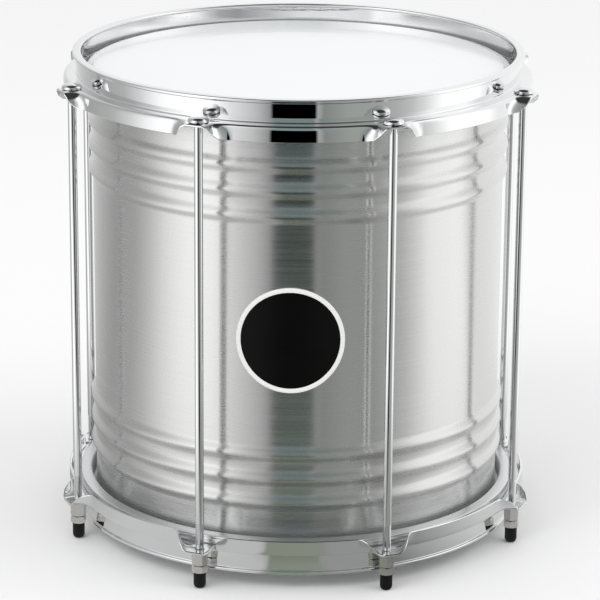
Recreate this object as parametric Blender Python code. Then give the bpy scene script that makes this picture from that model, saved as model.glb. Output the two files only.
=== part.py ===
"""Repinique: a beaded aluminium drum shell with a plastic head on each end.

Two pressed steel counter hoops hold the heads down. Eight full-length rods draw the
hoops together, and the drum stands on the rubber tips at the rods' lower ends.

Metres, +Z up. The origin is on the floor, on the drum's axis, and the front is -Y.
"""

import math

import bmesh
import bpy

# Clearance between neighbours that touch, fit or slide
FIT_GAP = 0.0003

# The head's nominal size, half of 12 inches in radius, which every other radius follows
HEAD_RADIUS = 0.1524

# Shell, spun from sheet, with two groups of raised beads
SHELL_INSIDE_HEAD = 0.0034
SHELL_RADIUS = HEAD_RADIUS - SHELL_INSIDE_HEAD
SHELL_WALL = 0.0015
SHELL_DEPTH = 0.319
EDGE_ROUND = 0.0020
EDGE_TURN_IN = 0.0060
EDGE_FALL = 0.0010
BEAD_RISE = 0.0032
BEAD_WIDTH = 0.0140
BEAD_CREST = 0.0046
BEAD_PITCH = 0.0178
BEAD_INSET = 0.0375
BEADS_IN_GROUP = 3

# Heads: a plastic film, and the flesh hoop that its collar is glued into
FILM_THICKNESS = 0.00025
FILM_SLOPE_DEG = 12
FLESH_WIDTH = 0.0078
FLESH_HEIGHT = 0.0064
FILM_TUCK = 0.0060

# Counter hoops, pressed from one sheet: rolled lip, wall, flange and skirt
HOOP_SHEET = 0.0016
WALL_OUTSIDE_HEAD = 0.0081
HOOP_WALL_RADIUS = HEAD_RADIUS + WALL_OUTSIDE_HEAD
HOOP_WALL_HEIGHT = 0.0163
LIP_REACH_IN = 0.0041
LIP_REACH_OUT = 0.0022
LIP_INNER_RADIUS = HOOP_WALL_RADIUS - LIP_REACH_IN
LIP_OUTER_RADIUS = HOOP_WALL_RADIUS + LIP_REACH_OUT
LIP_HEIGHT = 0.0026
LIP_EDGE = 0.0011
FLANGE_WIDTH = 0.0088
SKIRT_RADIUS = HOOP_WALL_RADIUS + FLANGE_WIDTH
SKIRT_DEPTH = 0.0115
SKIRT_BEND = 0.0030
HEAD_ABOVE_FLANGE = 0.0069

# Ears: where the skirt is pressed flat to carry a rod
LUG_COUNT = 8
ROD_OUTSIDE_SKIRT = 0.0021
EAR_OUTSIDE_ROD = 0.0088
LUG_CIRCLE_RADIUS = SKIRT_RADIUS + ROD_OUTSIDE_SKIRT
EAR_TIP_RADIUS = LUG_CIRCLE_RADIUS + EAR_OUTSIDE_ROD
EAR_HALF_FLAT = 0.0062
EAR_HALF_ROOT = 0.0212

# Tension rods
ROD_RADIUS = 0.0030
ROD_HEAD_RADIUS = 0.0072
ROD_HEAD_HEIGHT = 0.0040
ROD_HEAD_RIM = 0.0010

# Hexagon nuts, two on each rod: the tension nut and, under it, the lock nut
NUT_ACROSS_FLATS = 0.0100
NUT_CHAMFER = 0.0006
TENSION_NUT_HEIGHT = 0.0096
LOCK_NUT_HEIGHT = 0.0054
# How far each rod's nuts are left turned from having a flat face outward
NUT_RESTS_DEG = (10, 12, 48, 3, 37, 21, 24, 13)

# Rubber tips, pushed on to the rod ends
TIP_RADIUS = 0.0044
TIP_LENGTH = 0.0115
TIP_FLOOR = 0.0030
TIP_FLAT_RADIUS = 0.0020
TIP_DOME = 0.0035

# How finely round forms are divided
SHELL_SIDES = 48
ROD_SIDES = 10
EAR_STEPS = 3
PLAIN_STEPS = 3
DOME_STEPS = 2
SHARP_ANGLE = math.radians(32)
MERGE_DISTANCE = 1e-6
# A flat ear keeps this share of the bend, so that its curve still has a radius
LEAST_BEND = 1e-4

# Heights above the floor, each seated on the one before
LOCK_NUT_Z = TIP_LENGTH + FIT_GAP
TENSION_NUT_Z = LOCK_NUT_Z + LOCK_NUT_HEIGHT + FIT_GAP
LOWER_FLANGE_Z = TENSION_NUT_Z + TENSION_NUT_HEIGHT + FIT_GAP
LOWER_HEAD_Z = LOWER_FLANGE_Z + HOOP_SHEET - HEAD_ABOVE_FLANGE
SHELL_Z = LOWER_HEAD_Z + FILM_THICKNESS + FIT_GAP
SHELL_TOP_Z = SHELL_Z + SHELL_DEPTH
UPPER_HEAD_Z = SHELL_TOP_Z + FIT_GAP + FILM_THICKNESS
UPPER_FLANGE_Z = UPPER_HEAD_Z - HEAD_ABOVE_FLANGE + HOOP_SHEET

# Radii of the rings that nest outside the shell
COLLAR_INNER_RADIUS = HEAD_RADIUS + FIT_GAP
COLLAR_OUTER_RADIUS = COLLAR_INNER_RADIUS + FILM_THICKNESS
FLESH_INNER_RADIUS = COLLAR_OUTER_RADIUS + FIT_GAP


def clear_scene():
    """Remove every object, so that the file holds only the drum."""
    for obj in list(bpy.data.objects):
        bpy.data.objects.remove(obj, do_unlink=True)


def make_material(name, colour, roughness, metallic):
    """Return a Principled material with the part's photographed colour."""
    material = bpy.data.materials.new(name)
    material.use_nodes = True
    shader = material.node_tree.nodes["Principled BSDF"]
    shader.inputs["Base Color"].default_value = (*colour, 1.0)
    shader.inputs["Roughness"].default_value = roughness
    shader.inputs["Metallic"].default_value = metallic
    material.diffuse_color = (*colour, 1.0)
    return material


def add_object(name, bm, material, parent=None, height=0.0, turn=0.0, upside_down=False):
    """Turn a bmesh into a smooth-shaded object, placed under its parent."""
    bmesh.ops.recalc_face_normals(bm, faces=bm.faces)
    mesh = bpy.data.meshes.new(name)
    bm.to_mesh(mesh)
    bm.free()
    mesh.shade_smooth()
    mesh.set_sharp_from_angle(angle=SHARP_ANGLE)
    mesh.materials.append(material)
    obj = bpy.data.objects.new(name, mesh)
    bpy.context.scene.collection.objects.link(obj)
    obj.parent = parent
    obj.location.z = height
    obj.rotation_euler = (math.pi if upside_down else 0.0, 0.0, turn)
    return obj


def spin_profile(profile, sides, closed):
    """Spin a list of (radius, height) points round the Z axis."""
    bm = bmesh.new()
    verts = [bm.verts.new((radius, 0.0, height)) for radius, height in profile]
    edges = [bm.edges.new(pair) for pair in zip(verts, verts[1:])]
    if closed:
        edges.append(bm.edges.new((verts[-1], verts[0])))
    bmesh.ops.spin(
        bm,
        geom=verts + edges,
        cent=(0.0, 0.0, 0.0),
        axis=(0.0, 0.0, 1.0),
        angle=2.0 * math.pi,
        steps=sides,
        use_merge=True,
    )
    bmesh.ops.remove_doubles(bm, verts=bm.verts, dist=MERGE_DISTANCE)
    return bm


def bead_points(centre):
    """Return one bead's outline, from its upper edge to its lower edge."""
    crest_radius = SHELL_RADIUS + BEAD_RISE
    return [
        (SHELL_RADIUS, centre + BEAD_WIDTH / 2.0),
        (crest_radius, centre + BEAD_CREST / 2.0),
        (crest_radius, centre - BEAD_CREST / 2.0),
        (SHELL_RADIUS, centre - BEAD_WIDTH / 2.0),
    ]


def bead_centres():
    """Return the bead heights in the shell's own frame, highest first."""
    steps = [BEAD_INSET + BEAD_PITCH * number for number in range(BEADS_IN_GROUP)]
    upper = [SHELL_DEPTH - step for step in steps]
    return upper + steps[::-1]


def bead_hollow(centre):
    """Return the hollow behind a bead, from its lower edge to its upper edge."""
    inner_radius = SHELL_RADIUS - SHELL_WALL
    return [
        (inner_radius, centre - BEAD_WIDTH / 2.0),
        (inner_radius + BEAD_RISE, centre),
        (inner_radius, centre + BEAD_WIDTH / 2.0),
    ]


def shell_end(end, inward):
    """Return a bearing edge's points: rounded outside, with the sheet turned in.

    The head bears on the round, and the turned-in rim falls away below it.
    """
    rim_radius = SHELL_RADIUS - EDGE_TURN_IN
    return [
        (SHELL_RADIUS - SHELL_WALL, end + inward * (EDGE_FALL + 2.0 * SHELL_WALL)),
        (rim_radius, end + inward * (EDGE_FALL + SHELL_WALL)),
        (rim_radius, end + inward * EDGE_FALL),
        (SHELL_RADIUS - EDGE_ROUND, end),
        (SHELL_RADIUS, end + inward * EDGE_ROUND),
    ]


def build_shell(material):
    """The drum body: a thin tube with turned-in bearing edges and raised beads."""
    profile = shell_end(SHELL_DEPTH, -1.0)
    for centre in bead_centres():
        profile += bead_points(centre)
    profile += shell_end(0.0, 1.0)[::-1]
    for centre in bead_centres()[::-1]:
        profile += bead_hollow(centre)
    bm = spin_profile(profile, SHELL_SIDES, closed=True)
    return add_object("shell", bm, material, height=SHELL_Z)


def build_head(name, material, height, upside_down):
    """A head film in the frame of its playing face: a flat disc with a collar.

    The film falls gently from the shell's edge to its collar.
    """
    edge_radius = SHELL_RADIUS - EDGE_ROUND
    slope = math.radians(FILM_SLOPE_DEG)
    crest_radius = edge_radius + FILM_THICKNESS * math.tan(slope / 2.0)
    outer_end = -(COLLAR_OUTER_RADIUS - crest_radius) * math.tan(slope)
    inner_end = -FILM_THICKNESS - (COLLAR_INNER_RADIUS - edge_radius) * math.tan(slope)
    flesh_top = -HEAD_ABOVE_FLANGE - FIT_GAP
    collar_end = flesh_top - FILM_TUCK
    profile = [
        (0.0, 0.0),
        (crest_radius, 0.0),
        (COLLAR_OUTER_RADIUS, outer_end),
        (COLLAR_OUTER_RADIUS, collar_end),
        (COLLAR_INNER_RADIUS, collar_end),
        (COLLAR_INNER_RADIUS, inner_end),
        (edge_radius, -FILM_THICKNESS),
        (0.0, -FILM_THICKNESS),
    ]
    bm = spin_profile(profile, SHELL_SIDES, closed=False)
    return add_object(name, bm, material, height=height, upside_down=upside_down)


def build_flesh_hoop(name, material, height, upside_down):
    """The ring that grips the film's collar, under the counter hoop's flange."""
    top = -HEAD_ABOVE_FLANGE - FIT_GAP
    outer_radius = FLESH_INNER_RADIUS + FLESH_WIDTH
    profile = [
        (FLESH_INNER_RADIUS, top),
        (outer_radius, top),
        (outer_radius, top - FLESH_HEIGHT),
        (FLESH_INNER_RADIUS, top - FLESH_HEIGHT),
    ]
    bm = spin_profile(profile, SHELL_SIDES, closed=True)
    return add_object(name, bm, material, height=height, upside_down=upside_down)


def lug_angle(number):
    """Return the angle of a lug about the axis, counted from +X. Two lugs flank the front."""
    return -math.pi / 2.0 + 2.0 * math.pi * (number + 0.5) / LUG_COUNT


def press_share(offset):
    """Return how far the skirt is bent down at an offset from an ear's middle.

    It is 0 on the flat ear, 1 on the plain skirt, and eases between the two.
    """
    share = (abs(offset) - EAR_HALF_FLAT) / (EAR_HALF_ROOT - EAR_HALF_FLAT)
    share = min(max(share, 0.0), 1.0)
    return share * share * (3.0 - 2.0 * share)


def ear_offsets():
    """Return the offsets round the skirt, from one ear's middle to the next ear's."""
    between_ears = 2.0 * math.pi * SKIRT_RADIUS / LUG_COUNT
    ramp = (EAR_HALF_ROOT - EAR_HALF_FLAT) / EAR_STEPS
    plain = (between_ears - 2.0 * EAR_HALF_ROOT) / PLAIN_STEPS
    leaving = [EAR_HALF_FLAT + ramp * step for step in range(EAR_STEPS)]
    middle = [EAR_HALF_ROOT + plain * step for step in range(PLAIN_STEPS)]
    arriving = [between_ears - EAR_HALF_ROOT + ramp * step for step in range(EAR_STEPS + 1)]
    return leaving + middle + arriving


def nearest_ear(offset):
    """Return the offset to whichever ear is nearer."""
    between_ears = 2.0 * math.pi * SKIRT_RADIUS / LUG_COUNT
    return min(offset, between_ears - offset)


def lip_points():
    """Return the lip's outer and inner outlines, each from its top down to the wall."""
    top = HOOP_WALL_HEIGHT
    outside = [
        (LIP_OUTER_RADIUS - LIP_EDGE, top),
        (LIP_OUTER_RADIUS, top - LIP_HEIGHT / 2.0),
        (HOOP_WALL_RADIUS, top - LIP_HEIGHT),
    ]
    inside = [
        (LIP_INNER_RADIUS + LIP_EDGE, top),
        (LIP_INNER_RADIUS, top - LIP_HEIGHT / 2.0),
        (HOOP_WALL_RADIUS - HOOP_SHEET, top - LIP_HEIGHT),
    ]
    return outside, inside


def skirt_line(share):
    """Return the mid-line from the bend's start to the free edge.

    The sheet keeps its length round the bend, whatever angle it is pressed to.
    """
    half = HOOP_SHEET / 2.0
    bend_start = SKIRT_RADIUS - SKIRT_BEND
    bend_length = (SKIRT_BEND - half) * math.pi / 2.0
    skirt_length = SKIRT_DEPTH - SKIRT_BEND
    ear_length = EAR_TIP_RADIUS - bend_start - bend_length
    straight = ear_length + (skirt_length - ear_length) * share
    bend = max(share, LEAST_BEND) * math.pi / 2.0
    curve = bend_length / bend
    points = []
    for angle in (0.0, bend / 2.0, bend):
        radius = bend_start + curve * math.sin(angle)
        height = -half - curve * (1.0 - math.cos(angle))
        points.append((radius, height, math.pi / 2.0 - angle))
    radius, height, normal = points[-1]
    end_radius = radius + straight * math.cos(bend)
    end_height = height - straight * math.sin(bend)
    return points + [(end_radius, end_height, normal)]


def hoop_section(offset):
    """Return the sheet's closed outline at an offset from an ear's middle."""
    half = HOOP_SHEET / 2.0
    outside, inside = lip_points()
    outside.append((HOOP_WALL_RADIUS, 0.0))
    inside.append((HOOP_WALL_RADIUS - HOOP_SHEET, -HOOP_SHEET))
    for radius, height, normal in skirt_line(press_share(offset)):
        reach_r, reach_h = half * math.cos(normal), half * math.sin(normal)
        outside.append((radius + reach_r, height + reach_h))
        inside.append((radius - reach_r, height - reach_h))
    return outside + inside[::-1]


def hoop_ring(bm):
    """Loft the hoop's sections round the axis, ear by ear."""
    rings = []
    for lug in range(LUG_COUNT):
        for offset in ear_offsets():
            angle = lug_angle(lug) + offset / SKIRT_RADIUS
            section = hoop_section(nearest_ear(offset))
            ring = [
                bm.verts.new((radius * math.cos(angle), radius * math.sin(angle), height))
                for radius, height in section
            ]
            rings.append(ring)
    for ring, following in zip(rings, rings[1:] + rings[:1]):
        for index, vert in enumerate(ring):
            after = (index + 1) % len(ring)
            bm.faces.new((vert, following[index], following[after], ring[after]))


def build_hoop(name, material, cutter, height, upside_down):
    """A counter hoop in the frame of its flange face, with a hole in each ear."""
    bm = bmesh.new()
    hoop_ring(bm)
    obj = add_object(name, bm, material, height=height, upside_down=upside_down)
    cut_bores(obj, cutter)
    return obj


def clear_radius(radius, sides):
    """Return the corner radius of a many-sided bore that clears a round bar."""
    return (radius + FIT_GAP) / math.cos(math.pi / sides)


def build_bore_cutter():
    """Eight upright bars where the rods run, from the tips' floors through the top ears."""
    bottom = TIP_FLOOR
    top = UPPER_FLANGE_Z + HOOP_SHEET
    bm = bmesh.new()
    for number in range(LUG_COUNT):
        made = bmesh.ops.create_cone(
            bm,
            cap_ends=True,
            segments=ROD_SIDES,
            radius1=clear_radius(ROD_RADIUS, ROD_SIDES),
            radius2=clear_radius(ROD_RADIUS, ROD_SIDES),
            depth=top - bottom,
        )
        angle = lug_angle(number)
        place = (
            LUG_CIRCLE_RADIUS * math.cos(angle),
            LUG_CIRCLE_RADIUS * math.sin(angle),
            (top + bottom) / 2.0,
        )
        bmesh.ops.translate(bm, verts=made["verts"], vec=place)
    mesh = bpy.data.meshes.new("rod_bore_cutter")
    bm.to_mesh(mesh)
    bm.free()
    cutter = bpy.data.objects.new("rod_bore_cutter", mesh)
    bpy.context.scene.collection.objects.link(cutter)
    cutter.hide_render = True
    cutter.display_type = "WIRE"
    return cutter


def cut_bores(obj, cutter):
    """Cut the rods' clearance bores out of an object."""
    boolean = obj.modifiers.new("rod_bores", "BOOLEAN")
    boolean.operation = "DIFFERENCE"
    boolean.solver = "EXACT"
    boolean.object = cutter


def build_lug_axis(number):
    """An empty on the floor under a rod, turned so that its X axis points outward."""
    axis = bpy.data.objects.new(f"lug_axis_{number + 1}", None)
    bpy.context.scene.collection.objects.link(axis)
    angle = lug_angle(number)
    axis.location = (LUG_CIRCLE_RADIUS * math.cos(angle), LUG_CIRCLE_RADIUS * math.sin(angle), 0.0)
    axis.rotation_euler.z = angle
    return axis


def dome_points(radius, flat_radius, height):
    """Return a dome's outline, as (radius, rise) points from its side to its flat."""
    points = []
    for step in range(DOME_STEPS + 1):
        angle = math.pi / 2.0 * step / DOME_STEPS
        reach = flat_radius + (radius - flat_radius) * math.cos(angle)
        points.append((reach, height * math.sin(angle)))
    return points


def build_rod(number, axis, material):
    """A plain rod with a low domed head that seats on the top ear."""
    seat = UPPER_FLANGE_Z + FIT_GAP
    rim = seat + ROD_HEAD_RIM
    dome = dome_points(ROD_HEAD_RADIUS, 0.0, ROD_HEAD_HEIGHT - ROD_HEAD_RIM)
    profile = [(radius, rim + rise) for radius, rise in reversed(dome)]
    profile += [
        (ROD_HEAD_RADIUS, seat),
        (ROD_RADIUS, seat),
        (ROD_RADIUS, TIP_FLOOR + FIT_GAP),
        (0.0, TIP_FLOOR + FIT_GAP),
    ]
    bm = spin_profile(profile, ROD_SIDES, closed=False)
    return add_object(f"tension_rod_{number + 1}", bm, material, parent=axis)


def build_nut(name, axis, material, cutter, height, depth, turn):
    """A chamfered hexagon nut, with its origin on the rod's axis at its lower face."""
    bm = bmesh.new()
    corner_radius = NUT_ACROSS_FLATS / 2.0 / math.cos(math.pi / 6.0)
    bmesh.ops.create_cone(
        bm,
        cap_ends=True,
        segments=6,
        radius1=corner_radius,
        radius2=corner_radius,
        depth=depth,
    )
    bmesh.ops.translate(bm, verts=bm.verts, vec=(0.0, 0.0, depth / 2.0))
    rims = [edge for edge in bm.edges if edge.verts[0].co.z == edge.verts[1].co.z]
    bmesh.ops.bevel(bm, geom=rims, offset=NUT_CHAMFER, segments=1, affect="EDGES", profile=0.5)
    obj = add_object(name, bm, material, parent=axis, height=height, turn=turn)
    cut_bores(obj, cutter)
    return obj


def build_tip(number, axis, material, cutter):
    """A rubber tip with a blind bore for the rod and a small flat to stand on."""
    dome = dome_points(TIP_RADIUS, TIP_FLAT_RADIUS, TIP_DOME)
    profile = [(0.0, TIP_LENGTH), (TIP_RADIUS, TIP_LENGTH)]
    profile += [(radius, TIP_DOME - rise) for radius, rise in dome]
    profile.append((0.0, 0.0))
    bm = spin_profile(profile, ROD_SIDES, closed=False)
    obj = add_object(f"rubber_tip_{number + 1}", bm, material, parent=axis)
    cut_bores(obj, cutter)
    return obj


def build_lug_set(number, cutter, chrome, nickel, rubber):
    """One rod with its two nuts and its rubber tip."""
    axis = build_lug_axis(number)
    build_rod(number, axis, chrome)
    turn = math.radians(NUT_RESTS_DEG[number % len(NUT_RESTS_DEG)])
    tension = (f"tension_nut_{number + 1}", TENSION_NUT_Z, TENSION_NUT_HEIGHT)
    lock = (f"lock_nut_{number + 1}", LOCK_NUT_Z, LOCK_NUT_HEIGHT)
    for name, height, depth in (tension, lock):
        build_nut(name, axis, nickel, cutter, height, depth, turn)
    build_tip(number, axis, rubber, cutter)


def build_drum():
    """Build the whole drum."""
    aluminium = make_material("brushed_aluminium", (0.62, 0.62, 0.61), 0.34, 1.0)
    channel = make_material("flesh_hoop_aluminium", (0.70, 0.71, 0.71), 0.40, 1.0)
    film = make_material("white_film", (0.90, 0.92, 0.95), 0.18, 0.0)
    chrome = make_material("chromed_steel", (0.78, 0.79, 0.80), 0.08, 1.0)
    nickel = make_material("satin_nickel", (0.60, 0.58, 0.55), 0.36, 1.0)
    rubber = make_material("black_rubber", (0.012, 0.013, 0.013), 0.55, 0.0)
    cutter = build_bore_cutter()
    build_shell(aluminium)
    build_head("top_head", film, UPPER_HEAD_Z, upside_down=False)
    build_head("bottom_head", film, LOWER_HEAD_Z, upside_down=True)
    build_flesh_hoop("top_flesh_hoop", channel, UPPER_HEAD_Z, upside_down=False)
    build_flesh_hoop("bottom_flesh_hoop", channel, LOWER_HEAD_Z, upside_down=True)
    build_hoop("top_hoop", chrome, cutter, UPPER_FLANGE_Z, upside_down=False)
    build_hoop("bottom_hoop", chrome, cutter, LOWER_FLANGE_Z, upside_down=True)
    for number in range(LUG_COUNT):
        build_lug_set(number, cutter, chrome, nickel, rubber)


clear_scene()
build_drum()
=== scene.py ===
"""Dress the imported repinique: fine meshes, real finishes, a pale studio and the camera."""

import logging
import math
from collections.abc import Sequence
from dataclasses import dataclass, field
from enum import Enum

import bpy
from mathutils import Matrix, Vector


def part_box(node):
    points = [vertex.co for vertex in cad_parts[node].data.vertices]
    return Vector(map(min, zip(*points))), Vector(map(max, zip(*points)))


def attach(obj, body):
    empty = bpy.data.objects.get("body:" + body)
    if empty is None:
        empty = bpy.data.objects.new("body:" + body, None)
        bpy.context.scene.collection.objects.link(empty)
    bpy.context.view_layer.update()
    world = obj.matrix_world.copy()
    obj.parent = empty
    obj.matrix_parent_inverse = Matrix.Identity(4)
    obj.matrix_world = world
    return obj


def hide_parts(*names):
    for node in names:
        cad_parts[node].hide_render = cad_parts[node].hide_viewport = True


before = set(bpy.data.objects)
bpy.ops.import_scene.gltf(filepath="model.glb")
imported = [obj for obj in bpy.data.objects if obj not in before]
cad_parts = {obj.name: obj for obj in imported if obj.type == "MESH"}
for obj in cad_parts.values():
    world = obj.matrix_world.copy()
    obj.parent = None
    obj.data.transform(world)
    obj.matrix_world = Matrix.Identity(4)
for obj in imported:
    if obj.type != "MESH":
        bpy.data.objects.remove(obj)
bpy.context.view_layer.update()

log = logging.getLogger("repinique")

Point = tuple[float, float]
Colour = tuple[float, float, float]

DRUM_BODY = "drum"
LUG_COUNT = 8
MERGE_DISTANCE = 1e-6
SMOOTH_ANGLE = math.radians(35)
QUARTER = math.pi / 2.0
FULL_TURN = 2.0 * math.pi


# Modelling by operators


def select_only(piece: bpy.types.Object) -> None:
    """Leave edit mode and make one object the selected and active one."""
    if bpy.context.object is not None and bpy.context.object.mode != "OBJECT":
        bpy.ops.object.mode_set(mode="OBJECT")
    bpy.ops.object.select_all(action="DESELECT")
    piece.select_set(True)
    bpy.context.view_layer.objects.active = piece


def name_new_piece(name: str) -> bpy.types.Object:
    """Name the object that an operator has just added, and select it alone.

    Args:
        name: The piece's name.

    Returns:
        The named object.
    """
    piece = bpy.context.object
    piece.name = name
    piece.data.name = name
    select_only(piece)
    return piece


def draw_outline(name: str, outline: Sequence[Point]) -> bpy.types.Object:
    """Draw an outline in the XZ plane: one point, extruded from corner to corner.

    Args:
        name: The piece's name.
        outline: The corners, as (radius, height) pairs.

    Returns:
        The object, left in edit mode with all of the outline selected.
    """
    bpy.ops.object.select_all(action="DESELECT")
    bpy.ops.mesh.primitive_plane_add(size=0.01)
    piece = name_new_piece(name)
    bpy.ops.object.mode_set(mode="EDIT")
    bpy.ops.mesh.select_all(action="SELECT")
    bpy.ops.mesh.merge(type="CENTER")
    start = Vector((outline[0][0], 0.0, outline[0][1]))
    bpy.ops.transform.translate(value=start)
    for (radius, height), (next_radius, next_height) in zip(outline, outline[1:]):
        step = (next_radius - radius, 0.0, next_height - height)
        bpy.ops.mesh.extrude_region_move(TRANSFORM_OT_translate={"value": step})
    bpy.ops.mesh.select_all(action="SELECT")
    return piece


def close_and_smooth(piece: bpy.types.Object) -> None:
    """Merge doubled points, turn the faces outward, leave edit mode and shade smooth."""
    bpy.ops.mesh.select_all(action="SELECT")
    bpy.ops.mesh.remove_doubles(threshold=MERGE_DISTANCE)
    bpy.ops.mesh.normals_make_consistent(inside=False)
    select_only(piece)
    bpy.ops.object.shade_smooth_by_angle(angle=SMOOTH_ANGLE)


def turn_on_lathe(name: str, outline: Sequence[Point], sides: int) -> bpy.types.Object:
    """Spin an outline round the drum's axis into a closed solid.

    Args:
        name: The piece's name.
        outline: (radius, height) corners. It starts and ends on the axis, or repeats its
            first corner at the end.
        sides: How many steps the full turn takes.

    Returns:
        The finished object, at the origin.
    """
    piece = draw_outline(name, outline)
    bpy.ops.mesh.spin(steps=sides, angle=FULL_TURN, center=(0.0, 0.0, 0.0), axis=(0.0, 0.0, 1.0))
    close_and_smooth(piece)
    return piece


def apply_boolean(piece: bpy.types.Object, tool: bpy.types.Object, operation: str) -> None:
    """Cut a piece with a tool solid, or keep what both share, and remove the tool.

    Args:
        piece: The piece that is cut.
        tool: The solid that cuts it.
        operation: DIFFERENCE or INTERSECT.
    """
    modifier = piece.modifiers.new("cut", "BOOLEAN")
    modifier.operation = operation
    modifier.solver = "EXACT"
    modifier.object = tool
    select_only(piece)
    bpy.ops.object.modifier_apply(modifier=modifier.name)
    bpy.data.objects.remove(tool, do_unlink=True)
    bpy.ops.object.shade_smooth_by_angle(angle=SMOOTH_ANGLE)


def place_copy(pattern: bpy.types.Object, name: str, place: Matrix) -> bpy.types.Object:
    """Copy a pattern with its own mesh and put its place into that mesh.

    Args:
        pattern: The piece that was modelled once.
        name: The copy's name.
        place: Where the copy goes.

    Returns:
        The copy, with its object at the origin.
    """
    copy = pattern.copy()
    copy.data = pattern.data.copy()
    copy.name = name
    copy.data.name = name
    bpy.context.scene.collection.objects.link(copy)
    copy.matrix_world = place
    select_only(copy)
    bpy.ops.object.transform_apply(location=True, rotation=True, scale=True)
    return copy


def arc(centre: Point, radius: float, first: float, last: float, steps: int) -> list[Point]:
    """Return the points of an arc in the XZ plane.

    Args:
        centre: The arc's centre.
        radius: Its radius.
        first: The angle where it starts, from the radial direction towards up.
        last: The angle where it ends.
        steps: How many chords it is divided into.

    Returns:
        The points, from the first angle to the last.
    """
    points = []
    for step in range(steps + 1):
        angle = first + (last - first) * step / steps
        points.append((centre[0] + radius * math.cos(angle), centre[1] + radius * math.sin(angle)))
    return points


def lug_angle(number: int) -> float:
    """Return a lug's angle about the drum's axis, for lug numbers from 1."""
    return -QUARTER + FULL_TURN * (number - 0.5) / LUG_COUNT


# Finishes

NOISE_ROUGHNESS = 0.62
PATTERN_RANGE = (0.3, 0.7)
LEAST_ROUGHNESS = 0.01
ACROSS_THE_GRAIN = 0.25


class Grain(Enum):
    """Which way the fine marks of a finish run, as noise scales along X, Y and Z."""

    ROUND_THE_DRUM = (10.0, 10.0, 620.0)
    ALONG_THE_ROD = (900.0, 900.0, 24.0)
    ALL_WAYS = (520.0, 520.0, 520.0)
    SOFT_WAVES = (34.0, 34.0, 60.0)


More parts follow.
